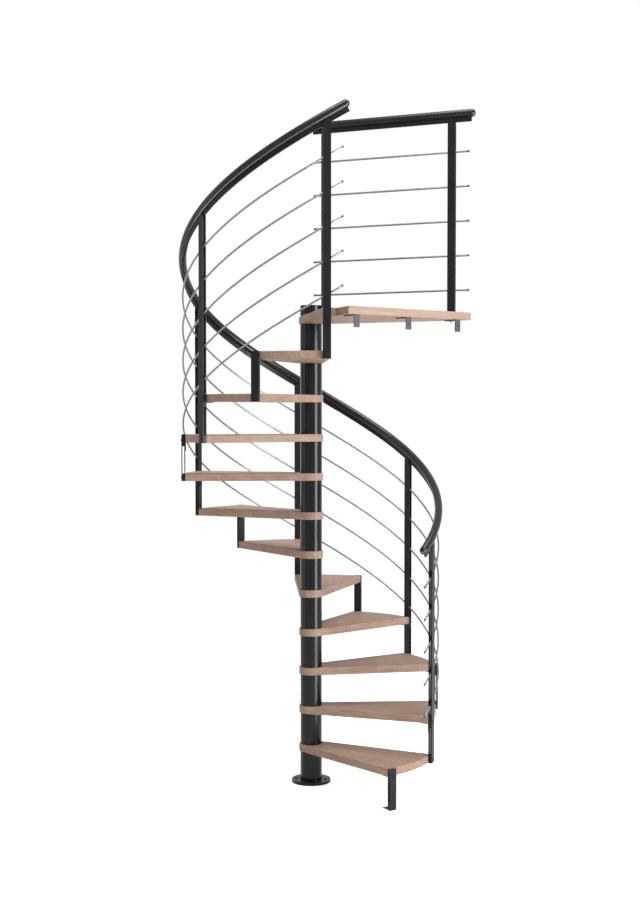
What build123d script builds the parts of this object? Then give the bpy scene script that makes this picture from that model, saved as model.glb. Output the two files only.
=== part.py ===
from build123d import *
import math
import os

os.makedirs("parts", exist_ok=True)

# Spiral staircase in millimetres. The origin is on the column axis at the lower floor,
# +Z is up, and the platform's exit edge faces -Y. The flight climbs counter-clockwise
# seen from above. Azimuths are in degrees, counter-clockwise from +X.

# Flight
rise = 210.0
tread_count = 11
step_angle = 30.0
foot_azimuth = -90.0
tread_thickness = 40.0
tread_edge_round = 3.0

# Column
base_diameter = 210.0
base_thickness = 15.0
base_bolt_circle = 160.0
base_bolt_hole = 13.0
base_bolt_count = 4
pole_diameter = 60.0
pole_wall = 4.0
column_diameter = 117.0
column_wall = 4.0
hub_diameter = 130.0
column_above_platform = 60.0
cap_thickness = 6.0

# Baluster posts and links: pairs of flat bars with the rods between them
post_radius = 687.0
bar_width = 40.0
bar_thickness = 5.0
rod_diameter = 10.0
rod_play = 0.1
block_below_tread = 24.0
bar_shoulder = 8.0
bar_shoulder_height = 30.0

# Angle brackets under the treads
bracket_width = 30.0
bracket_thickness = 4.0
bracket_down = 48.0
bracket_in = 45.0

# Handrail: a round tube on a flat carrier bar, over the ends of the treads
handrail_height = 963.0
tube_diameter = 42.0
tube_wall = 4.0
carrier_depth = 21.0
carrier_thickness = 9.4
saddle_lap = 5.0
seat_play = 0.1
handrail_past_first_post = 108.0
handrail_past_last_post = 92.5

# Infill rods
rod_count = 5
rod_below_handrail = 226.0
rod_above_treads = 63.0
rod_past_first_post = 96.0
rod_past_last_post = 80.5

# Platform
platform_depth = 760.0
platform_left = 338.0
platform_notch = 30.0
platform_margin = 18.0
platform_rail_height = 1034.5
platform_rod_above_board = 114.5
platform_rod_below_rail = 213.6
near_post_clearance = 1.0
far_post_inset = 99.0
rail_past_near_post = 91.0
rail_past_far_post = 126.0
rod_past_near_post = 65.0
rod_past_far_post = 93.0
foot_block_height = 40.0
foot_plate_length = 48.0
foot_plate_width = 30.0
foot_plate_thickness = 6.0

# Brackets that fasten the exit edge to the upper floor
floor_bracket_count = 3
floor_bracket_spacing = 328.0
floor_bracket_centre = 42.0
floor_bracket_width = 34.0
floor_bracket_down = 62.0
floor_bracket_in = 84.0
floor_bracket_thickness = 5.0
floor_bracket_hole = 9.0

# Derived sizes
platform_level = rise * (tread_count + 1)
platform_azimuth = foot_azimuth + step_angle * tread_count
rod_bow = post_radius - math.sqrt(post_radius**2 - (bar_width / 2) ** 2)
bar_gap = rod_diameter + rod_bow + rod_play
bar_offset = (bar_gap + bar_thickness) / 2
bar_radius = post_radius - rod_bow / 2
tread_radius = bar_radius - bar_gap / 2 - bar_thickness
first_post = foot_azimuth + step_angle
last_post = platform_azimuth
degrees_per_length = math.degrees(1 / post_radius)
handrail_start = first_post - handrail_past_first_post * degrees_per_length
handrail_end = last_post + handrail_past_last_post * degrees_per_length
rod_start = first_post - rod_past_first_post * degrees_per_length
rod_end = last_post + rod_past_last_post * degrees_per_length
rod_spacing = (handrail_height - rod_below_handrail - rod_above_treads) / (rod_count - 1)
railing_azimuth = platform_azimuth + 2 * step_angle
railing_angle = math.radians(railing_azimuth)
railing_reach = -(platform_depth + platform_margin * math.cos(railing_angle)) / math.sin(railing_angle)
near_post_place = column_diameter / 2 + near_post_clearance + foot_plate_length / 2
far_post_place = railing_reach - far_post_inset
rise_per_degree = rise / step_angle
helix_pitch = rise_per_degree * 360.0
helix_slope = math.atan2(helix_pitch, 2 * math.pi * post_radius)
tube_radius = tube_diameter / 2
tube_height_on_slope = tube_radius / math.cos(helix_slope)
platform_rod_span = platform_rail_height - platform_rod_below_rail - platform_rod_above_board
platform_rod_spacing = platform_rod_span / (rod_count - 1)


def polar(radius, azimuth):
    """Plan point at a radius and azimuth."""
    angle = math.radians(azimuth)
    return radius * math.cos(angle), radius * math.sin(angle)


def joint_azimuth(number):
    """Azimuth of the joint between one tread's rear corner and the next one's front."""
    return foot_azimuth + step_angle * number


def turned(shape, azimuth, height=0.0):
    """A shape made along +X, turned to its azimuth and lifted."""
    return Pos(0, 0, height) * (Rot(0, 0, azimuth) * shape)


def box_between(low, high):
    """A box from its lowest to its highest corner."""
    size = [high[k] - low[k] for k in range(3)]
    middle = [(high[k] + low[k]) / 2 for k in range(3)]
    return Pos(*middle) * Box(*size)


def save(shape, node):
    export_step(shape, "parts/" + node + ".step")


def hub_tangent(corner, side):
    """Point where the line from a plan corner touches the hub circle, on one side."""
    reach = math.hypot(corner[0], corner[1])
    towards = math.degrees(math.atan2(corner[1], corner[0]))
    swing = math.degrees(math.acos(hub_diameter / 2 / reach))
    return polar(hub_diameter / 2, towards + side * swing)


def make_tread():
    """Winder tread along +X: round hub end, straight sides, outer end on an arc."""
    half_angle = step_angle / 2 + math.degrees(math.atan2(bar_width / 2, tread_radius))
    left = polar(tread_radius, half_angle)
    right = polar(tread_radius, -half_angle)
    left_hub = hub_tangent(left, 1)
    right_hub = hub_tangent(right, -1)
    outline = [
        Line(right_hub, right),
        ThreePointArc(right, (tread_radius, 0), left),
        Line(left, left_hub),
        ThreePointArc(left_hub, (-hub_diameter / 2, 0), right_hub),
    ]
    board = extrude(make_face(outline), tread_thickness)
    edges = board.faces().sort_by(Axis.Z)[-1].edges() + board.faces().sort_by(Axis.Z)[0].edges()
    board = fillet(edges, tread_edge_round)
    bore = Pos(0, 0, tread_thickness / 2) * Cylinder(pole_diameter / 2, tread_thickness * 2)
    return board - bore


def beside_railing(along, offset):
    """Plan point along the railing's line from the column, and off it to its outer side."""
    x, y = polar(along, railing_azimuth)
    side_x, side_y = polar(offset, railing_azimuth + 90)
    return x + side_x, y + side_y


def platform_corners():
    """Plan corners of the platform: beside the last post, then the two exit corners."""
    post = math.radians(platform_azimuth)
    along = (math.cos(post), math.sin(post))
    across = (-math.sin(post), math.cos(post))

    def local(reach, offset):
        return (reach * along[0] + offset * across[0], reach * along[1] + offset * across[1])

    before_post = local(tread_radius, -bar_width / 2)
    past_post = local(tread_radius, bar_width / 2 + platform_notch)
    exit_left = (-platform_left, -platform_depth)
    exit_right = beside_railing(railing_reach, platform_margin)
    return before_post, past_post, exit_left, exit_right


def make_platform():
    before_post, past_post, exit_left, exit_right = platform_corners()
    near_hub = hub_tangent(before_post, -1)
    hub_reach = math.sqrt((hub_diameter / 2) ** 2 - platform_margin**2)
    far_hub = beside_railing(hub_reach, platform_margin)
    back = polar(hub_diameter / 2, 90.0)
    outline = [
        Line(near_hub, before_post),
        Line(before_post, past_post),
        Line(past_post, exit_left),
        Line(exit_left, exit_right),
        Line(exit_right, far_hub),
        ThreePointArc(far_hub, back, near_hub),
    ]
    board = extrude(make_face(outline), tread_thickness)
    edges = board.faces().sort_by(Axis.Z)[-1].edges() + board.faces().sort_by(Axis.Z)[0].edges()
    board = fillet(edges, tread_edge_round)
    bore = Pos(0, 0, tread_thickness / 2) * Cylinder(pole_diameter / 2, tread_thickness * 2)
    return Pos(0, 0, platform_level - tread_thickness) * (board - bore)


def flat_bar(radius, low, high, slope):
    """Flat bar standing at a radius along +X, its top cut to a slope with two shoulders."""
    half = bar_width / 2
    rise_at_edge = half * math.tan(slope)
    inner = half - bar_shoulder
    rise_at_shoulder = inner * math.tan(slope)
    points = [
        (-half, low),
        (half, low),
        (half, high + rise_at_edge - bar_shoulder_height),
        (inner, high + rise_at_shoulder),
        (-inner, high - rise_at_shoulder),
        (-half, high - rise_at_edge - bar_shoulder_height),
    ]
    face_plane = Plane(origin=(radius - bar_thickness / 2, 0, 0), x_dir=(0, 1, 0), z_dir=(1, 0, 0))
    outline = make_face(Polyline(*points, close=True))
    return extrude(face_plane * outline, bar_thickness)


def square_bar(radius, low, high):
    """Flat bar with square ends."""
    inside = radius - bar_thickness / 2
    outside = radius + bar_thickness / 2
    return box_between((inside, -bar_width / 2, low), (outside, bar_width / 2, high))


def spacer_block(radius, low, high):
    """Block that fills the gap between the two bars beside a tread."""
    inside = radius - bar_gap / 2
    outside = radius + bar_gap / 2
    return box_between((inside, -bar_width / 2, low), (outside, bar_width / 2, high))


def joint_blocks(lower_top):
    """The two blocks of a joint: beside the lower tread, and beside and under the upper."""
    lower = spacer_block(bar_radius, lower_top - tread_thickness, lower_top)
    upper_low = lower_top + rise - tread_thickness - block_below_tread
    upper = spacer_block(bar_radius, upper_low, lower_top + rise)
    return lower + upper


def make_link(number):
    """Short link from one tread to the next."""
    lower_top = rise * number
    low = lower_top - tread_thickness
    high = lower_top + rise
    bars = square_bar(bar_radius - bar_offset, low, high)
    bars = bars + square_bar(bar_radius + bar_offset, low, high)
    return turned(bars + joint_blocks(lower_top), joint_azimuth(number))


def handrail_axis_height(azimuth):
    """Height of the tube's axis over an azimuth."""
    top = rise_per_degree * (azimuth - foot_azimuth) + rise + handrail_height
    return top - tube_height_on_slope


def make_baluster(number):
    """Long post: carries two treads and runs on up to the handrail."""
    azimuth = joint_azimuth(number)
    lower_top = rise * number
    low = lower_top - tread_thickness
    seat = math.sqrt(tube_radius**2 - (bar_gap / 2) ** 2) + seat_play
    high = handrail_axis_height(azimuth) - seat / math.cos(helix_slope)
    bars = flat_bar(bar_radius - bar_offset, low, high, helix_slope)
    bars = bars + flat_bar(bar_radius + bar_offset, low, high, helix_slope)
    return turned(bars + joint_blocks(lower_top), azimuth)


def make_foot_link():
    """Link from the floor to the first tread's front corner, with a foot plate."""
    low = 0.0
    high = rise
    block_low = rise - tread_thickness - block_below_tread
    bars = square_bar(bar_radius - bar_offset, low, high)
    bars = bars + square_bar(bar_radius + bar_offset, low, high)
    bars = bars + spacer_block(bar_radius, block_low, high)
    bars = bars + spacer_block(bar_radius, low, tread_thickness)
    inside = tread_radius
    plate_low = (inside - bracket_in, -bracket_width / 2, 0)
    plate_high = (inside, bracket_width / 2, bracket_thickness)
    leg_low = (inside - bracket_thickness, -bracket_width / 2, 0)
    leg_high = (inside, bracket_width / 2, bracket_down)
    foot = box_between(plate_low, plate_high) + box_between(leg_low, leg_high)
    return turned(bars + foot, foot_azimuth)


def make_angle(width, thickness, leg_in, leg_down):
    """Angle bracket hanging from z = 0, its upright leg's back on x = 0, facing +X."""
    flange = box_between((-leg_in, -width / 2, -thickness), (0, width / 2, 0))
    leg = box_between((-thickness, -width / 2, -leg_down), (0, width / 2, 0))
    return flange + leg


def make_tread_brackets():
    """One bracket under each tread's front corner, against the inner bar."""
    angle = make_angle(bracket_width, bracket_thickness, bracket_in, bracket_down)
    brackets = []
    for number in range(tread_count + 1):
        underside = rise * (number + 1) - tread_thickness
        placed = turned(Pos(tread_radius, 0, 0) * angle, joint_azimuth(number), underside)
        brackets.append(placed)
    return Compound(children=brackets)


def helix_between(start, end):
    """Helix at the post radius, from azimuth 0 and height 0, as long as the span given."""
    return Helix(helix_pitch, rise_per_degree * (end - start), post_radius)


def swept_along(start, end, section):
    """A section swept along the flight; its +Y side is the lower one."""
    path = helix_between(start, end)
    plane = Plane(origin=path @ 0, x_dir=(1, 0, 0), z_dir=path % 0)
    return sweep(sections=plane * section, path=path, is_frenet=True)


def tube_section():
    return Circle(tube_radius) - Circle(tube_radius - tube_wall)


def carrier_section():
    """Flat bar on edge, hollowed on top to seat the tube."""
    top = tube_radius - saddle_lap
    depth = carrier_depth + saddle_lap
    bar = Pos(0, top + depth / 2) * Rectangle(carrier_thickness, depth)
    return bar - Circle(tube_radius)


def end_plane(azimuth, height, outward):
    """Plane across the handrail at an azimuth, facing out of the rail's end."""
    angle = math.radians(azimuth)
    level = math.cos(helix_slope)
    tangent = (-math.sin(angle) * level, math.cos(angle) * level, math.sin(helix_slope))
    x, y = polar(post_radius, azimuth)
    radial = (math.cos(angle), math.sin(angle), 0)
    facing = tuple(outward * part for part in tangent)
    return Plane(origin=(x, y, height), x_dir=radial, z_dir=facing)


def make_dome():
    """Round end cap on the plane z = 0."""
    return Sphere(tube_radius, arc_size1=0, align=Align.NONE)


def make_handrail():
    tube = swept_along(handrail_start, handrail_end, tube_section())
    return turned(tube, handrail_start, handrail_axis_height(handrail_start))


def make_carrier():
    bar = swept_along(handrail_start, handrail_end, carrier_section())
    return turned(bar, handrail_start, handrail_axis_height(handrail_start))


def make_handrail_caps():
    low = end_plane(handrail_start, handrail_axis_height(handrail_start), -1)
    high = end_plane(handrail_end, handrail_axis_height(handrail_end), 1)
    return Compound(children=[low * make_dome(), high * make_dome()])


def make_infill_rod(number):
    rod = swept_along(rod_start, rod_end, Circle(rod_diameter / 2))
    below = rod_below_handrail + rod_spacing * number
    top = handrail_axis_height(rod_start) + tube_height_on_slope
    return turned(rod, rod_start, top - below)


def railing_plane():
    """Plan frame of the platform's side railing: along it from the column, and outwards."""
    along = polar(1.0, railing_azimuth)
    return Plane(origin=(0, 0, platform_level), x_dir=(*along, 0), z_dir=(0, 0, 1))


def make_platform_post(place):
    """Post of the platform railing: two bars on a foot plate, with a block between."""
    half = bar_width / 2
    top = platform_rail_height - tube_radius
    top = top - math.sqrt(tube_radius**2 - (bar_gap / 2) ** 2)
    top = top - seat_play
    inner = bar_gap / 2
    low = foot_plate_thickness
    foot_low = (place - foot_plate_length / 2, -foot_plate_width / 2, 0)
    foot_high = (place + foot_plate_length / 2, foot_plate_width / 2, low)
    block_low = (place - half, -inner, low)
    block_high = (place + half, inner, low + foot_block_height)
    post = box_between(foot_low, foot_high)
    for side in (-bar_offset, bar_offset):
        post = post + Pos(place, 0, 0) * (Rot(0, 0, 90) * flat_bar(side, low, top, 0.0))
    post = post + box_between(block_low, block_high)
    return railing_plane().location * post


def along_railing(section, start, end, height):
    """A section swept level along the railing; its +Y side is the lower one."""
    profile = Plane(origin=(start, 0, height), x_dir=(0, -1, 0), z_dir=(1, 0, 0))
    return railing_plane().location * extrude(profile * section, end - start)


def platform_rail_line():
    """Start, end and height of the platform rail's tube, between its end caps."""
    start = near_post_place - rail_past_near_post + tube_radius
    end = far_post_place + rail_past_far_post - tube_radius
    return start, end, platform_rail_height - tube_radius


def make_platform_handrail():
    return along_railing(tube_section(), *platform_rail_line())


def make_platform_carrier():
    return along_railing(carrier_section(), *platform_rail_line())


def make_platform_caps():
    start, end, height = platform_rail_line()
    low = Plane(origin=(start, 0, height), x_dir=(0, 1, 0), z_dir=(-1, 0, 0))
    high = Plane(origin=(end, 0, height), x_dir=(0, 1, 0), z_dir=(1, 0, 0))
    place = railing_plane().location
    return Compound(children=[place * (low * make_dome()), place * (high * make_dome())])


def make_platform_rods():
    start = near_post_place - rod_past_near_post
    end = far_post_place + rod_past_far_post
    rods = []
    for number in range(rod_count):
        height = platform_rod_above_board + platform_rod_spacing * number
        rods.append(along_railing(Circle(rod_diameter / 2), start, end, height))
    return Compound(children=rods)


def make_floor_brackets():
    """Angles under the exit edge, screwed to the edge of the upper floor."""
    angle = make_angle(
        floor_bracket_width, floor_bracket_thickness, floor_bracket_in, floor_bracket_down
    )
    hole_height = -(floor_bracket_down + floor_bracket_thickness) / 2
    hole = Cylinder(floor_bracket_hole / 2, floor_bracket_thickness * 4)
    angle = angle - Pos(0, 0, hole_height) * (Rot(0, 90, 0) * hole)
    brackets = []
    for number in range(floor_bracket_count):
        step = number - (floor_bracket_count - 1) / 2
        x = floor_bracket_centre + floor_bracket_spacing * step
        place = Pos(x, -platform_depth, platform_level - tread_thickness)
        brackets.append(place * (Rot(0, 0, -90) * angle))
    return Compound(children=brackets)


def make_base_plate():
    plate = Pos(0, 0, base_thickness / 2) * Cylinder(base_diameter / 2, base_thickness)
    hole = Cylinder(base_bolt_hole / 2, base_thickness * 4)
    for number in range(base_bolt_count):
        azimuth = (number + 0.5) * 360.0 / base_bolt_count
        plate = plate - turned(Pos(base_bolt_circle / 2, 0, 0) * hole, azimuth)
    return plate


def make_pole():
    """Inner pole that threads the treads and spacers."""
    high = platform_level + column_above_platform - cap_thickness
    length = high - base_thickness
    ring = Circle(pole_diameter / 2) - Circle(pole_diameter / 2 - pole_wall)
    return Pos(0, 0, base_thickness) * extrude(ring, length)


def make_spacers():
    """Spacer tubes between the base plate, the treads and the cap."""
    ring = Circle(column_diameter / 2) - Circle(column_diameter / 2 - column_wall)
    spacers = []
    low = base_thickness
    for number in range(1, tread_count + 2):
        high = rise * number - tread_thickness
        spacers.append(Pos(0, 0, low) * extrude(ring, high - low))
        low = rise * number
    top = low + column_above_platform - cap_thickness
    spacers.append(Pos(0, 0, low) * extrude(ring, top - low))
    return Compound(children=spacers)


def make_cap():
    high = platform_level + column_above_platform
    return Pos(0, 0, high - cap_thickness / 2) * Cylinder(column_diameter / 2, cap_thickness)


save(make_base_plate(), "base_plate")
save(make_pole(), "centre_pole")
save(make_spacers(), "column_spacers")
save(make_cap(), "column_cap")

tread = make_tread()
for number in range(1, tread_count + 1):
    middle = joint_azimuth(number) - step_angle / 2
    placed = turned(tread, middle, rise * number - tread_thickness)
    save(placed, "tread_%02d" % number)

save(make_platform(), "platform")
save(make_foot_link(), "foot_link")

for number in range(1, tread_count + 1):
    if number % 2 == 1:
        save(make_baluster(number), "baluster_%02d" % number)
    else:
        save(make_link(number), "tread_link_%02d" % number)

save(make_tread_brackets(), "tread_brackets")
save(make_handrail(), "handrail_tube")
save(make_carrier(), "handrail_carrier")
save(make_handrail_caps(), "handrail_end_caps")

for number in range(rod_count):
    save(make_infill_rod(number), "infill_rod_%d" % (number + 1))

save(make_platform_post(near_post_place), "platform_post_near")
save(make_platform_post(far_post_place), "platform_post_far")
save(make_platform_handrail(), "platform_handrail")
save(make_platform_carrier(), "platform_carrier")
save(make_platform_caps(), "platform_end_caps")
save(make_platform_rods(), "platform_rods")
save(make_floor_brackets(), "floor_brackets")
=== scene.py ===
import math

import bmesh
import bpy
from mathutils import Matrix, Vector


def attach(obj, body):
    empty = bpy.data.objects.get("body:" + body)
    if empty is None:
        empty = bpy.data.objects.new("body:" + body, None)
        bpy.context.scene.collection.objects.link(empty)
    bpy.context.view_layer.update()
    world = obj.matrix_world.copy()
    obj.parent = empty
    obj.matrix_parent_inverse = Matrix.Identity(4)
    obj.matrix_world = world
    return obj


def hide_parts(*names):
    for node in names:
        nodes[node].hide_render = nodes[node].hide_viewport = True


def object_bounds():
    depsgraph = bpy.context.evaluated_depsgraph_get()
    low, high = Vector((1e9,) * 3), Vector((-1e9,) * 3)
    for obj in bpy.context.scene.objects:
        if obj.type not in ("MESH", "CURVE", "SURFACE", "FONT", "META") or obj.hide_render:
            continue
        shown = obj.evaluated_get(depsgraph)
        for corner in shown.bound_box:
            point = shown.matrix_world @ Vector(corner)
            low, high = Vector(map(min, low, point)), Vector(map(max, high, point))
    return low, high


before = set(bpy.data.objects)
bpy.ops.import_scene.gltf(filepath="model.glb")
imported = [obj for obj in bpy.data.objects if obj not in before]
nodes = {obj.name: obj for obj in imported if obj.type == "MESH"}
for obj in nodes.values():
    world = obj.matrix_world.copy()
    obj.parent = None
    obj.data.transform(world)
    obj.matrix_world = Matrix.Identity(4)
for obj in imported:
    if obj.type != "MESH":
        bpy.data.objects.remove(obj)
cad_low, cad_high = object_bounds()

# Sizes of the stair, in metres and degrees, as in its source
RISE = 0.210
TREAD_COUNT = 11
STEP_ANGLE = 30.0
FOOT_AZIMUTH = -90.0
TREAD_THICKNESS = 0.040
COLUMN_DIAMETER = 0.117
BASE_THICKNESS = 0.015
BASE_BOLT_CIRCLE = 0.160
BASE_BOLT_COUNT = 4
POST_RADIUS = 0.687
BAR_WIDTH = 0.040
BAR_THICKNESS = 0.005
ROD_RADIUS = 0.005
ROD_PLAY = 0.0001
BLOCK_BELOW_TREAD = 0.024
BRACKET_THICKNESS = 0.004
BRACKET_IN = 0.045
HANDRAIL_HEIGHT = 0.963
TUBE_RADIUS = 0.021
TUBE_PAST_FIRST_POST = 0.108
TUBE_PAST_LAST_POST = 0.0925
ROD_COUNT = 5
ROD_BELOW_HANDRAIL = 0.226
ROD_ABOVE_TREADS = 0.063
ROD_PAST_FIRST_POST = 0.096
ROD_PAST_LAST_POST = 0.0805
PLATFORM_DEPTH = 0.760
PLATFORM_MARGIN = 0.018
PLATFORM_RAIL_HEIGHT = 1.0345
PLATFORM_ROD_ABOVE_BOARD = 0.1145
PLATFORM_ROD_BELOW_RAIL = 0.2136
NEAR_POST_CLEARANCE = 0.001
FAR_POST_INSET = 0.099
ROD_PAST_NEAR_POST = 0.065
ROD_PAST_FAR_POST = 0.093
FOOT_PLATE_LENGTH = 0.048
FLOOR_BRACKET_COUNT = 3
FLOOR_BRACKET_SPACING = 0.328
FLOOR_BRACKET_CENTRE = 0.042
FLOOR_BRACKET_DOWN = 0.062
FLOOR_BRACKET_THICKNESS = 0.005

# Derived sizes: the flight
ROD_BOW = POST_RADIUS - math.sqrt(POST_RADIUS ** 2 - (BAR_WIDTH / 2) ** 2)
BAR_GAP = 2 * ROD_RADIUS + ROD_BOW + ROD_PLAY
BAR_RADIUS = POST_RADIUS - ROD_BOW / 2
TREAD_RADIUS = BAR_RADIUS - BAR_GAP / 2 - BAR_THICKNESS
FIRST_POST = FOOT_AZIMUTH + STEP_ANGLE
LAST_POST = FOOT_AZIMUTH + STEP_ANGLE * TREAD_COUNT
DEGREES_PER_LENGTH = math.degrees(1 / POST_RADIUS)
HELIX_SLOPE = math.atan2(RISE / math.radians(STEP_ANGLE), POST_RADIUS)
TUBE_START = FIRST_POST - TUBE_PAST_FIRST_POST * DEGREES_PER_LENGTH
TUBE_END = LAST_POST + TUBE_PAST_LAST_POST * DEGREES_PER_LENGTH
ROD_START = FIRST_POST - ROD_PAST_FIRST_POST * DEGREES_PER_LENGTH
ROD_END = LAST_POST + ROD_PAST_LAST_POST * DEGREES_PER_LENGTH
ROD_SPACING = (HANDRAIL_HEIGHT - ROD_BELOW_HANDRAIL - ROD_ABOVE_TREADS) / (ROD_COUNT - 1)

# Derived sizes: the platform and its railing
PLATFORM_LEVEL = RISE * (TREAD_COUNT + 1)
RAILING_AZIMUTH = LAST_POST + 2 * STEP_ANGLE
RAILING_ANGLE = math.radians(RAILING_AZIMUTH)
RAILING_DEPTH = PLATFORM_DEPTH + PLATFORM_MARGIN * math.cos(RAILING_ANGLE)
RAILING_REACH = -RAILING_DEPTH / math.sin(RAILING_ANGLE)
NEAR_POST_PLACE = COLUMN_DIAMETER / 2 + NEAR_POST_CLEARANCE + FOOT_PLATE_LENGTH / 2
FAR_POST_PLACE = RAILING_REACH - FAR_POST_INSET
PLATFORM_ROD_START = NEAR_POST_PLACE - ROD_PAST_NEAR_POST
PLATFORM_ROD_END = FAR_POST_PLACE + ROD_PAST_FAR_POST
PLATFORM_ROD_SPAN = PLATFORM_RAIL_HEIGHT - PLATFORM_ROD_BELOW_RAIL - PLATFORM_ROD_ABOVE_BOARD
PLATFORM_ROD_SPACING = PLATFORM_ROD_SPAN / (ROD_COUNT - 1)
FLOOR_BRACKET_HOLE_DROP = (FLOOR_BRACKET_DOWN + FLOOR_BRACKET_THICKNESS) / 2

# Camera of the photograph: size of the picture and lens in pixels, sensor in millimetres,
# and place and turn about the column
IMAGE_HEIGHT = 923
FOCAL_PIXELS = 1391.0
SENSOR_WIDTH = 36.0
CAMERA_DISTANCE = 7.507
CAMERA_HEIGHT = 2.0165
CAMERA_SIDE = 0.048
CAMERA_TURN = 36.81
CAMERA_PITCH = 2.10

UP = (0.0, 0.0, 1.0)
DOWN = (0.0, 0.0, -1.0)
OUT_OF_EXIT_EDGE = (0.0, -1.0, 0.0)
WHITE = (1.0, 1.0, 1.0)
BLACK = (0.0, 0.0, 0.0)


def polar(radius, azimuth, height=0.0):
    """Point at a radius, azimuth and height about the column."""
    angle = math.radians(azimuth)
    return Vector((radius * math.cos(angle), radius * math.sin(angle), height))


def from_view(side, ahead, height):
    """Point given as seen from the camera: to its right, past the column, and height."""
    turn = math.radians(CAMERA_TURN)
    x = side * math.cos(turn) + ahead * math.sin(turn)
    y = -side * math.sin(turn) + ahead * math.cos(turn)
    return Vector((x, y, height))


def joint_azimuth(number):
    """Azimuth of the joint between one tread's rear corner and the next one's front."""
    return FOOT_AZIMUTH + STEP_ANGLE * number


def floor_bracket_places():
    """Place of each floor bracket along the exit edge."""
    places = []
    for number in range(FLOOR_BRACKET_COUNT):
        step = number - (FLOOR_BRACKET_COUNT - 1) / 2
        places.append(FLOOR_BRACKET_CENTRE + FLOOR_BRACKET_SPACING * step)
    return places


def add_object(name, data):
    """Puts new data into the scene under its name."""
    made = bpy.data.objects.new(name, data)
    bpy.context.scene.collection.objects.link(made)
    return made


def make_camera():
    """The photograph's view, which looks past the column and slightly down."""
    data = bpy.data.cameras.new("camera")
    data.sensor_width = SENSOR_WIDTH
    data.lens = FOCAL_PIXELS / IMAGE_HEIGHT * data.sensor_width
    camera = add_object("camera", data)
    camera.location = from_view(CAMERA_SIDE, -CAMERA_DISTANCE, CAMERA_HEIGHT)
    pitch = math.radians(CAMERA_PITCH)
    ahead = from_view(0.0, math.cos(pitch), -math.sin(pitch))
    camera.rotation_euler = ahead.to_track_quat("-Z", "Y").to_euler()
    bpy.context.scene.camera = camera


# Materials

# Sockets of a mix node that mixes colours
MIX_SHARE = 0
MIX_FIRST = 6
MIX_SECOND = 7
MIX_RESULT = 2

# How far the roughness of a surface goes below and above its stated value
SMOOTHER = 0.03
ROUGHER = 0.05


class Maker:
    """A node material under construction."""

    def __init__(self, name):
        self.material = bpy.data.materials.new(name)
        self.material.use_nodes = True
        self.tree = self.material.node_tree
        self.shader = self.tree.nodes["Principled BSDF"]

    def node(self, kind, **settings):
        """A new node with some of its settings."""
        made = self.tree.nodes.new(kind)
        for key, value in settings.items():
            setattr(made, key, value)
        return made

    def put(self, value, socket):
        """Sets a socket to a number or colour, or links an output to it."""
        if isinstance(value, bpy.types.NodeSocket):
            self.tree.links.new(value, socket)
        elif isinstance(value, tuple) and socket.type == "RGBA":
            socket.default_value = (*value, 1.0)
        else:
            socket.default_value = value

    def own(self, name, value):
        """Sets an input of the shader."""
        self.put(value, self.shader.inputs[name])

    def place(self, turn=0.0):
        """Place in the object's own metres, turned about Z."""
        coords = self.node("ShaderNodeTexCoord")
        turned = self.node("ShaderNodeMapping", vector_type="TEXTURE")
        turned.inputs["Rotation"].default_value = (0.0, 0.0, math.radians(turn))
        self.put(coords.outputs["Object"], turned.inputs["Vector"])
        return turned.outputs["Vector"]

    def stretch(self, vector, scale):
        """A place scaled along each axis."""
        made = self.node("ShaderNodeMapping")
        made.inputs["Scale"].default_value = scale
        self.put(vector, made.inputs["Vector"])
        return made.outputs["Vector"]

    def noise(self, vector, scale, detail=3.0, roughness=0.5):
        """A soft random value from 0 to 1."""
        made = self.node("ShaderNodeTexNoise")
        made.inputs["Scale"].default_value = scale
        made.inputs["Detail"].default_value = detail
        made.inputs["Roughness"].default_value = roughness
        self.put(vector, made.inputs["Vector"])
        return made.outputs["Fac"]

    def ramp(self, value, stops):
        """A value turned into a colour, through stops of a place and a colour."""
        made = self.node("ShaderNodeValToRGB")
        elements = made.color_ramp.elements
        while len(elements) < len(stops):
            elements.new(0.5)
        for element, (place, colour) in zip(elements, stops):
            element.position = place
            element.color = (*colour, 1.0)
        self.put(value, made.inputs["Fac"])
        return made.outputs["Color"]

    def mix(self, share, first, second, blend="MIX"):
        """Two colours mixed."""
        made = self.node("ShaderNodeMix", data_type="RGBA", blend_type=blend)
        self.put(share, made.inputs[MIX_SHARE])
        self.put(first, made.inputs[MIX_FIRST])
        self.put(second, made.inputs[MIX_SECOND])
        return made.outputs[MIX_RESULT]

    def darken(self, colour, factor):
        """A colour times another."""
        return self.mix(1.0, colour, factor, "MULTIPLY")

    def math(self, operation, first, second=0.0):
        """Two values worked into one."""
        made = self.node("ShaderNodeMath", operation=operation)
        self.put(first, made.inputs[0])
        self.put(second, made.inputs[1])
        return made.outputs["Value"]

    def spread(self, value, low, high):
        """A value from 0 to 1, mapped to a range."""
        made = self.node("ShaderNodeMapRange")
        made.inputs["To Min"].default_value = low
        made.inputs["To Max"].default_value = high
        self.put(value, made.inputs["Value"])
        return made.outputs["Result"]

    def bump(self, height, strength, depth):
        """Fine relief in the surface, of a depth in metres at full strength."""
        made = self.node("ShaderNodeBump")
        made.inputs["Strength"].default_value = strength
        made.inputs["Distance"].default_value = depth
        self.put(height, made.inputs["Height"])
        self.own("Normal", made.outputs["Normal"])

    def cloudy(self, value, dark, light):
        """Colour of the surface, between a dark and a light tone."""
        self.own("Base Color", self.ramp(value, [(0.3, dark), (0.7, light)]))

    def uneven(self, value, roughness):
        """Roughness of the surface, a little below and above the stated one."""
        self.own("Roughness", self.spread(value, roughness - SMOOTHER, roughness + ROUGHER))


# Beech: width of a stave, how many staves further on each next board starts, and how far
# apart in the wood the staves of a board are cut, along the grain and through it
STAVE_WIDTH = 0.045
STAVES_FURTHER = 7.31
CUT_ALONG = 3.0
CUT_THROUGH = 11.0

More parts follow.
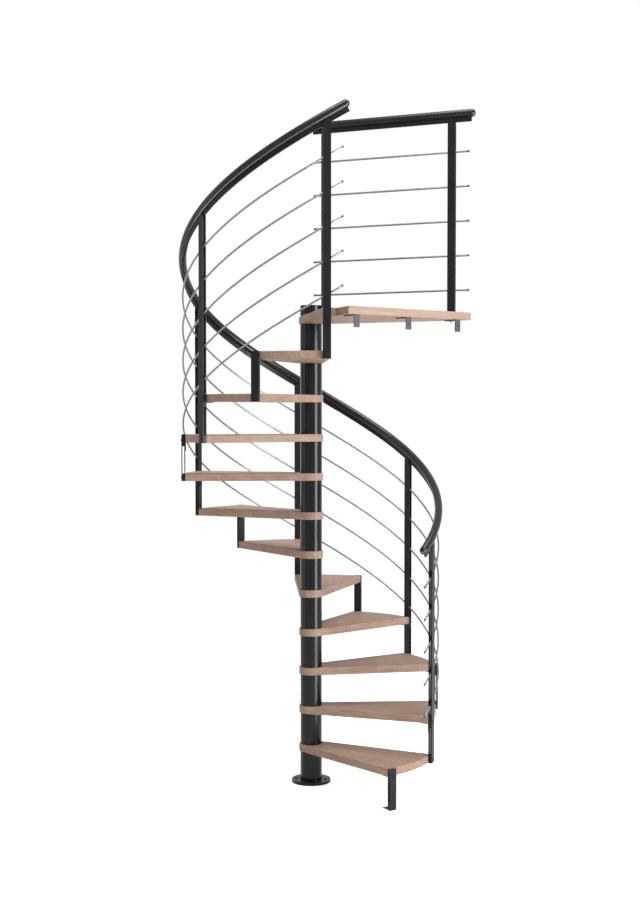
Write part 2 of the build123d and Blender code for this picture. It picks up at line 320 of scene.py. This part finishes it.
# Scales of the grain and of its flecks, along a board, across it and through it
GRAIN_STRETCH = (1.6, 26.0, 26.0)
FLECK_STRETCH = (150.0, 900.0, 900.0)

# Colours of the grain and of its flecks, and how much of the flecks shows
GRAIN_TONES = (
    (0.26, (0.372, 0.242, 0.178)),
    (0.50, (0.470, 0.322, 0.244)),
    (0.76, (0.560, 0.402, 0.312)),
)
FLECK_TONE = (0.250, 0.150, 0.100)
FLECK_SHARE = 0.36

# What the darkest stave, a dark cloud and a seam leave of the colour
DARK_STAVE = (0.95, 0.94, 0.93)
DARK_CLOUD = (0.94, 0.93, 0.92)
SEAM = (0.88, 0.86, 0.84)


def beech(name, turn, seed):
    """Glued beech staves, their grain along the board at an azimuth."""
    make = Maker(name)
    base = make.place(turn)
    split = make.node("ShaderNodeSeparateXYZ")
    make.put(base, split.inputs["Vector"])
    across = make.math("DIVIDE", split.outputs["Y"], STAVE_WIDTH)
    across = make.math("ADD", across, seed * STAVES_FURTHER)
    pick = make.node("ShaderNodeTexWhiteNoise", noise_dimensions="1D")
    make.put(make.math("FLOOR", across), pick.inputs["W"])
    stave = pick.outputs["Value"]

    shift = make.node("ShaderNodeCombineXYZ")
    make.put(make.math("MULTIPLY", stave, CUT_ALONG), shift.inputs["X"])
    make.put(make.math("MULTIPLY", stave, CUT_THROUGH), shift.inputs["Z"])
    moved = make.node("ShaderNodeVectorMath", operation="ADD")
    make.put(base, moved.inputs[0])
    make.put(shift.outputs["Vector"], moved.inputs[1])
    wood = moved.outputs["Vector"]

    grain = make.noise(make.stretch(wood, GRAIN_STRETCH), scale=2.2, detail=6.0, roughness=0.62)
    tone = make.ramp(grain, GRAIN_TONES)
    tone = make.darken(tone, make.ramp(stave, [(0.0, DARK_STAVE), (1.0, WHITE)]))
    fleck = make.noise(make.stretch(wood, FLECK_STRETCH), scale=1.0, detail=1.0)
    fleck = make.ramp(fleck, [(0.60, BLACK), (0.72, WHITE)])
    tone = make.mix(make.math("MULTIPLY", fleck, FLECK_SHARE), tone, FLECK_TONE)
    cloud = make.noise(base, scale=5.0, detail=2.0)
    tone = make.darken(tone, make.ramp(cloud, [(0.3, DARK_CLOUD), (0.7, WHITE)]))
    seam = make.math("ABSOLUTE", make.math("SUBTRACT", make.math("FRACT", across), 0.5))
    tone = make.darken(tone, make.ramp(seam, [(0.488, WHITE), (0.498, SEAM)]))

    make.own("Base Color", tone)
    make.own("Roughness", make.spread(grain, 0.60, 0.48))
    make.own("Specular IOR Level", 0.18)
    relief = make.math("SUBTRACT", grain, make.math("MULTIPLY", fleck, 0.5))
    make.bump(relief, strength=0.16, depth=0.0005)
    return make.material


def painted(name, dark, light, roughness, shine, peel=0.03):
    """Powder-coated steel: a soft cloud in the colour, a fine orange peel, uneven gloss."""
    make = Maker(name)
    space = make.place()
    make.cloudy(make.noise(space, scale=7.0), dark, light)
    make.own("Specular IOR Level", shine)
    make.uneven(make.noise(space, scale=30.0), roughness)
    make.bump(make.noise(space, scale=700.0, detail=2.0), strength=peel, depth=0.0002)
    return make.material


def bare_metal(name, dark, light, roughness, scale):
    """Bare metal: slight changes of tone and gloss over it."""
    make = Maker(name)
    change = make.noise(make.place(), scale)
    make.cloudy(change, dark, light)
    make.own("Metallic", 1.0)
    make.uneven(change, roughness)
    return make.material


def moulded_plastic(name, dark, light, roughness):
    """Smooth black plastic with faint handling marks in its gloss."""
    make = Maker(name)
    space = make.place()
    make.cloudy(make.noise(space, scale=9.0), dark, light)
    make.own("Specular IOR Level", 0.32)
    marks = make.noise(space, scale=45.0, detail=4.0, roughness=0.6)
    make.uneven(marks, roughness)
    make.bump(marks, strength=0.02, depth=0.0002)
    return make.material


black_steel = painted(
    "black_steel", dark=(0.0090, 0.0084, 0.0102), light=(0.0130, 0.0124, 0.0144),
    roughness=0.36, shine=0.17,
)
column_steel = painted(
    "column_steel", dark=(0.0024, 0.0020, 0.0032), light=(0.0038, 0.0033, 0.0048),
    roughness=0.19, shine=0.24, peel=0.0,
)
bracket_steel = painted(
    "bracket_steel", dark=(0.060, 0.062, 0.070), light=(0.080, 0.083, 0.092),
    roughness=0.46, shine=0.14,
)
stainless = bare_metal(
    "stainless", dark=(0.19, 0.19, 0.20), light=(0.25, 0.25, 0.26), roughness=0.28, scale=25.0
)
zinc = bare_metal(
    "zinc", dark=(0.42, 0.42, 0.42), light=(0.55, 0.55, 0.54), roughness=0.36, scale=90.0
)
rail_plastic = moulded_plastic(
    "rail_plastic", dark=(0.006, 0.006, 0.0072), light=(0.0090, 0.0090, 0.0105), roughness=0.18
)
cap_plastic = moulded_plastic(
    "cap_plastic", dark=(0.050, 0.050, 0.052), light=(0.070, 0.070, 0.072), roughness=0.35
)

RAIL_NODES = ("handrail_tube", "handrail_end_caps", "platform_handrail", "platform_end_caps")
ROD_NODES = ("infill_rod_", "platform_rods")


def paint(name, material):
    """Puts a material on every slot of a CAD node."""
    mesh = nodes[name].data
    if not mesh.materials:
        mesh.materials.append(material)
    for index in range(len(mesh.materials)):
        mesh.materials[index] = material


def paint_nodes():
    """Gives every CAD node its material."""
    for name in nodes:
        number = name.rpartition("_")[2]
        if name == "tread_" + number and number.isdigit():
            middle = joint_azimuth(int(number) - 0.5)
            paint(name, beech("beech_" + name, middle, int(number)))
        elif name == "platform":
            paint(name, beech("beech_platform", 0.0, TREAD_COUNT + 1))
        elif name.startswith(ROD_NODES):
            paint(name, stainless)
        elif name in RAIL_NODES:
            paint(name, rail_plastic)
        elif name in ("column_spacers", "column_cap"):
            paint(name, column_steel)
        elif name == "floor_brackets":
            paint(name, bracket_steel)
        else:
            paint(name, black_steel)


# Shapes and pieces

# Greatest turn in degrees between faces that are shaded as one
SMOOTH_BELOW = 40.0


def turned(profile, sides=24):
    """A shape turned from (radius, height) points about Z, closed where it meets the axis."""
    shape = bmesh.new()
    rings = []
    for radius, height in profile:
        count = sides if radius > 0 else 1
        ring = []
        for k in range(count):
            angle = 2.0 * math.pi * k / sides
            point = (radius * math.cos(angle), radius * math.sin(angle), height)
            ring.append(shape.verts.new(point))
        rings.append(ring)
    for lower, upper in zip(rings, rings[1:]):
        for k in range(sides):
            after = (k + 1) % sides
            corners = [lower[k % len(lower)], lower[after % len(lower)]]
            corners += [upper[after % len(upper)], upper[k % len(upper)]]
            shape.faces.new(list(dict.fromkeys(corners)))
    bmesh.ops.recalc_face_normals(shape, faces=shape.faces)
    return shape


def facing(point, direction, spin=0.0):
    """Places a shape at a point with its Z along a direction, spun about it."""
    turn = Vector(direction).normalized().to_track_quat("Z", "Y").to_matrix().to_4x4()
    return Matrix.Translation(point) @ turn @ Matrix.Rotation(math.radians(spin), 4, "Z")


def add_copies(name, shapes, places, material):
    """One piece: the shapes repeated at each place, on the root body and in a slot."""
    mesh = bpy.data.meshes.new(name)
    whole = bmesh.new()
    for shape in shapes:
        source = bpy.data.meshes.new("source")
        shape.to_mesh(source)
        shape.free()
        for place in places:
            start = len(whole.verts)
            whole.from_mesh(source)
            whole.verts.ensure_lookup_table()
            bmesh.ops.transform(whole, matrix=place, verts=whole.verts[start:])
        bpy.data.meshes.remove(source)
    for face in whole.faces:
        face.smooth = True
    limit = math.radians(SMOOTH_BELOW)
    for edge in whole.edges:
        edge.smooth = len(edge.link_faces) == 2 and edge.calc_face_angle() < limit
    whole.to_mesh(mesh)
    whole.free()
    mesh.materials.append(material)
    piece = add_object(name, mesh)
    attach(piece, "root")
    return piece


def handrail_top(azimuth):
    """Height of the handrail's top over an azimuth."""
    return RISE * (azimuth - FOOT_AZIMUTH) / STEP_ANGLE + RISE + HANDRAIL_HEIGHT


def climb(azimuth):
    """Direction of the flight at an azimuth."""
    return polar(math.cos(HELIX_SLOPE), azimuth + 90.0, math.sin(HELIX_SLOPE))


def along_flight(radius, start, end, below, sides):
    """A round bar on the posts' helix, its axis at a depth below the handrail's top."""
    widest_step = 2.0
    shape = bmesh.new()
    rings = []
    count = math.ceil((end - start) / widest_step)
    for k in range(count + 1):
        azimuth = start + (end - start) * k / count
        middle = polar(POST_RADIUS, azimuth, handrail_top(azimuth) - below)
        out = polar(1.0, azimuth)
        up = out.cross(climb(azimuth))
        ring = []
        for side in range(sides):
            angle = 2.0 * math.pi * side / sides
            around = math.cos(angle) * out + math.sin(angle) * up
            ring.append(shape.verts.new(middle + radius * around))
        rings.append(ring)
    for near, far in zip(rings, rings[1:]):
        for side in range(sides):
            after = (side + 1) % sides
            shape.faces.new((near[side], near[after], far[after], far[side]))
    shape.faces.new(rings[0])
    shape.faces.new(rings[-1])
    bmesh.ops.recalc_face_normals(shape, faces=shape.faces)
    return shape


def add_spiral_bars():
    """The handrail's tube and the rods below it, evenly meshed so that their gloss runs smooth."""
    here = [Matrix.Identity(4)]
    within_solid = 0.00015
    below = TUBE_RADIUS / math.cos(HELIX_SLOPE)
    tube = along_flight(TUBE_RADIUS - within_solid, TUBE_START, TUBE_END, below, sides=40)
    piece = add_copies("spiral_handrail", [tube], here, rail_plastic)
    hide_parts("handrail_tube")
    for number in range(ROD_COUNT):
        below = ROD_BELOW_HANDRAIL + ROD_SPACING * number
        rod = along_flight(ROD_RADIUS, ROD_START, ROD_END, below, sides=16)
        piece = add_copies("spiral_rod_%d" % (number + 1), [rod], here, stainless)
        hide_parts("infill_rod_%d" % (number + 1))


def chamfered(radius, low, high, chamfer, sides):
    """A disc or prism about Z between two heights, its upper edge chamfered."""
    profile = [(0.0, low), (radius, low), (radius, high - chamfer)]
    profile += [(radius - chamfer, high), (0.0, high)]
    return turned(profile, sides)


def dome(radius, height, edge):
    """Low domed screw head standing on Z = 0, its upright edge below the dome."""
    rise = height - edge
    steps = 5
    profile = [(0.0, 0.0), (radius, 0.0), (radius, edge)]
    for k in range(1, steps):
        angle = math.pi / 2 * k / steps
        profile.append((radius * math.cos(angle), edge + rise * math.sin(angle)))
    profile.append((0.0, height))
    return turned(profile, sides=20)


def rod_ends():
    """The ends of every rod, each with the direction out of it."""
    ends = []
    for azimuth, outward in ((ROD_START, -1.0), (ROD_END, 1.0)):
        for number in range(ROD_COUNT):
            height = handrail_top(azimuth) - ROD_BELOW_HANDRAIL - ROD_SPACING * number
            ends.append((polar(POST_RADIUS, azimuth, height), climb(azimuth) * outward))
    along = polar(1.0, RAILING_AZIMUTH)
    for number in range(ROD_COUNT):
        height = PLATFORM_LEVEL + PLATFORM_ROD_ABOVE_BOARD + PLATFORM_ROD_SPACING * number
        ends.append((polar(PLATFORM_ROD_START, RAILING_AZIMUTH, height), -along))
        ends.append((polar(PLATFORM_ROD_END, RAILING_AZIMUTH, height), along))
    return ends


def add_rod_caps():
    """Slip-on cap on the end of each rod, its end slightly rounded."""
    wall = 0.0006
    length = 0.009
    outer = ROD_RADIUS + wall

    # Share of the outer radius, and height past the rod's end
    rounding = ((1.0, 0.0002), (0.85, 0.0012), (0.5, 0.0017), (0.0, 0.0018))
    profile = [(ROD_RADIUS, -length), (outer, -length)]
    profile += [(outer * share, height) for share, height in rounding]
    places = [facing(point, direction) for point, direction in rod_ends()]
    add_copies("rod_end_caps", [turned(profile)], places, cap_plastic)


def add_base_bolts():
    """Low domed heads over the base plate's holes."""
    places = []
    for number in range(BASE_BOLT_COUNT):
        azimuth = (number + 0.5) * 360.0 / BASE_BOLT_COUNT
        places.append(facing(polar(BASE_BOLT_CIRCLE / 2, azimuth, BASE_THICKNESS), UP))
    head = dome(radius=0.0105, height=0.0042, edge=0.0010)
    add_copies("base_bolts", [head], places, black_steel)


def add_post_bolts():
    """Domed heads on the outer bar, one at each tread that a post or link carries."""
    outer = BAR_RADIUS + BAR_GAP / 2 + BAR_THICKNESS
    places = []
    for number in range(TREAD_COUNT + 1):
        azimuth = joint_azimuth(number)
        out = polar(1.0, azimuth)
        lower = RISE * number - TREAD_THICKNESS / 2
        upper = RISE * (number + 1) - (TREAD_THICKNESS + BLOCK_BELOW_TREAD) / 2
        for height in (lower, upper):
            if height > 0:
                places.append(facing(polar(outer, azimuth, height), out))
    head = dome(radius=0.0065, height=0.0034, edge=0.0008)
    add_copies("post_bolts", [head], places, black_steel)


def add_bracket_screws():
    """Screws that hold the angles and the floor brackets to the undersides of the boards."""
    shares_of_angle = (0.35, 0.75)
    from_exit_edge = (0.030, 0.062)
    places = []
    for number in range(TREAD_COUNT + 1):
        height = RISE * (number + 1) - TREAD_THICKNESS - BRACKET_THICKNESS
        for share in shares_of_angle:
            reach = TREAD_RADIUS - BRACKET_IN * share
            places.append(facing(polar(reach, joint_azimuth(number), height), DOWN))
    underside = PLATFORM_LEVEL - TREAD_THICKNESS - FLOOR_BRACKET_THICKNESS
    for x in floor_bracket_places():
        for inset in from_exit_edge:
            places.append(facing(Vector((x, -PLATFORM_DEPTH + inset, underside)), DOWN))
    head = dome(radius=0.0045, height=0.0024, edge=0.0004)
    add_copies("bracket_screws", [head], places, zinc)


def add_edge_screws():
    """Dark countersunk screws in the floor brackets' upright legs."""
    bottom = -0.0040
    face = -0.0006
    socket_bottom = -0.0022
    bottom_radius = 0.0030
    face_radius = 0.0044
    socket_radius = 0.0019
    head = turned([
        (0.0, bottom),
        (bottom_radius, bottom),
        (face_radius, face),
        (socket_radius, face),
        (socket_radius, socket_bottom),
        (0.0, socket_bottom),
    ])
    height = PLATFORM_LEVEL - TREAD_THICKNESS - FLOOR_BRACKET_HOLE_DROP
    places = []
    for x in floor_bracket_places():
        places.append(facing(Vector((x, -PLATFORM_DEPTH, height)), OUT_OF_EXIT_EDGE))
    add_copies("edge_screws", [head], places, black_steel)


def add_platform_nuts():
    """Washer, nut and stud end under each post of the platform railing."""
    washer_radius = 0.0095
    washer_thickness = 0.0020
    nut_across_flats = 0.015
    nut_height = 0.0080
    stud_radius = 0.0045
    stud_length = 0.0138
    nut_radius = nut_across_flats / 2 / math.cos(math.pi / 6)
    nut_end = washer_thickness + nut_height
    shapes = [
        chamfered(washer_radius, 0.0, washer_thickness, chamfer=0.0004, sides=28),
        chamfered(nut_radius, washer_thickness, nut_end, chamfer=0.0010, sides=6),
        chamfered(stud_radius, washer_thickness, stud_length, chamfer=0.0008, sides=24),
    ]
    places = []
    for place in (NEAR_POST_PLACE, FAR_POST_PLACE):
        point = polar(place, RAILING_AZIMUTH, PLATFORM_LEVEL - TREAD_THICKNESS)
        places.append(facing(point, DOWN, spin=RAILING_AZIMUTH))
    add_copies("platform_nuts", shapes, places, zinc)


# Stage and light

# Strength of the world's light, and of the floor's glow where it shows
SOFT_LIGHT = 0.26
FLOOR_GLOW = 0.80

FLOOR_SIZE = 60.0
FLOOR_BELOW_STAIR = 0.0005

# Strips that lie over the places where the handrail's gloss meets the floor: each end to the
# side and past the column as seen from the camera, and power in watts
STRIP_HEIGHT = 0.05
STRIP_WIDTH = 0.8
RAIL_STRIPS = (
    ((2.60, -3.10), (-0.25, -1.40), 92.0),
    ((-0.25, -1.40), (-1.95, -0.10), 59.0),
)


def seen_strength(tree, unseen, seen):
    """Strength for rays that show the background, also in gloss and glass, and for the rest."""
    path = tree.nodes.new("ShaderNodeLightPath")
    shows = path.outputs["Is Camera Ray"]
    for name in ("Is Glossy Ray", "Is Transmission Ray"):
        either = tree.nodes.new("ShaderNodeMath")
        either.operation = "MAXIMUM"
        tree.links.new(shows, either.inputs[0])
        tree.links.new(path.outputs[name], either.inputs[1])
        shows = either.outputs["Value"]
    strength = tree.nodes.new("ShaderNodeMapRange")
    strength.inputs["To Min"].default_value = unseen
    strength.inputs["To Max"].default_value = seen
    tree.links.new(shows, strength.inputs["Value"])
    return strength.outputs["Result"]


def make_floor():
    """Pale floor that reads as white where it is lit, and keeps the stair's shadow."""
    height = cad_low.z - FLOOR_BELOW_STAIR
    bpy.ops.mesh.primitive_plane_add(size=FLOOR_SIZE, location=(0.0, 0.0, height))
    floor = bpy.context.object
    floor.name = "floor"
    make = Maker("floor")
    make.own("Base Color", (0.90, 0.90, 0.90))
    make.own("Roughness", 0.9)
    make.own("Specular IOR Level", 0.0)
    make.own("Emission Color", WHITE)
    make.own("Emission Strength", seen_strength(make.tree, 0.0, FLOOR_GLOW))
    floor.data.materials.append(make.material)


def make_world():
    """Even soft light, and white behind the stair."""
    world = bpy.data.worlds.new("world")
    bpy.context.scene.world = world
    world.use_nodes = True
    tree = world.node_tree
    tree.nodes.clear()
    sky = tree.nodes.new("ShaderNodeBackground")
    sky.inputs["Color"].default_value = (*WHITE, 1.0)
    tree.links.new(seen_strength(tree, SOFT_LIGHT, 1.0), sky.inputs["Strength"])
    output = tree.nodes.new("ShaderNodeOutputWorld")
    tree.links.new(sky.outputs["Background"], output.inputs["Surface"])


def rectangle_lamp(name, along_x, along_y, power, lights=True, shines=True):
    """Lamp that lights surfaces or shines in their gloss, or does both."""
    data = bpy.data.lights.new(name, "AREA")
    data.shape = "RECTANGLE"
    data.size = along_x
    data.size_y = along_y
    data.energy = power
    lamp = add_object(name, data)
    lamp.visible_camera = False
    lamp.visible_diffuse = lights
    lamp.visible_glossy = shines
    return lamp


def add_lamp(name, place, aimed_at, width, tall, power, lights=True, shines=True):
    """Lamp placed as seen from the camera, facing the column at a height."""
    lamp = rectangle_lamp(name, width, tall, power, lights, shines)
    lamp.location = from_view(*place)
    aim = Vector((0.0, 0.0, aimed_at)) - lamp.location
    lamp.rotation_euler = aim.to_track_quat("-Z", "Y").to_euler()
    return lamp


def add_floor_strip(name, start, end, power):
    """Lamp lying just above the floor between two places, facing up, for gloss alone."""
    first = from_view(*start, STRIP_HEIGHT)
    last = from_view(*end, STRIP_HEIGHT)
    along = last - first
    lamp = rectangle_lamp(name, along.length, STRIP_WIDTH, power, lights=False)
    lamp.location = (first + last) / 2
    lamp.rotation_euler = (math.pi, 0.0, math.atan2(along.y, along.x))
    return lamp


def show_only_on(lamp, names):
    """Keeps a lamp to the named pieces."""
    group = bpy.data.collections.new(lamp.name + "_pieces")
    for name in names:
        group.objects.link(bpy.data.objects[name])
    lamp.light_linking.receiver_collection = group


def make_lamps():
    """Lamps for the column's and the handrail's gloss alone, then those around the stair."""
    low_gleam = add_lamp(
        "low_gleam", (0.83, -0.56, 0.26), aimed_at=0.26,
        width=0.44, tall=0.47, power=4.2, lights=False,
    )
    show_only_on(low_gleam, ("column_spacers",))
    for number, (start, end, power) in enumerate(RAIL_STRIPS):
        strip = add_floor_strip("rail_strip_%d" % number, start, end, power)
        show_only_on(strip, ("spiral_handrail", "handrail_end_caps"))
    add_lamp(
        "right_gleam", (2.65, -1.8, 2.05), aimed_at=2.05,
        width=1.4, tall=3.9, power=225.0, lights=False,
    )
    add_lamp(
        "right_box", (4.6, -2.9, 2.3), aimed_at=1.9,
        width=1.3, tall=4.6, power=165.0, shines=False,
    )
    add_lamp(
        "left_box", (-4.8, -0.9, 2.3), aimed_at=1.9,
        width=0.9, tall=4.6, power=22.0,
    )
    add_lamp(
        "high_right", (3.2, -4.0, 4.6), aimed_at=2.4,
        width=1.6, tall=1.6, power=45.0, shines=False,
    )
    add_lamp(
        "low_front", (1.4, -3.6, 0.25), aimed_at=2.4,
        width=3.4, tall=0.4, power=20.0, shines=False,
    )
    add_lamp(
        "overhead", (0.6, -0.6, 6.2), aimed_at=1.2,
        width=4.0, tall=2.0, power=180.0,
    )


make_camera()
paint_nodes()
add_spiral_bars()
add_rod_caps()
add_base_bolts()
add_post_bolts()
add_bracket_screws()
add_edge_screws()
add_platform_nuts()
make_floor()
make_world()
make_lamps()
bpy.context.scene.view_settings.view_transform = "Standard"
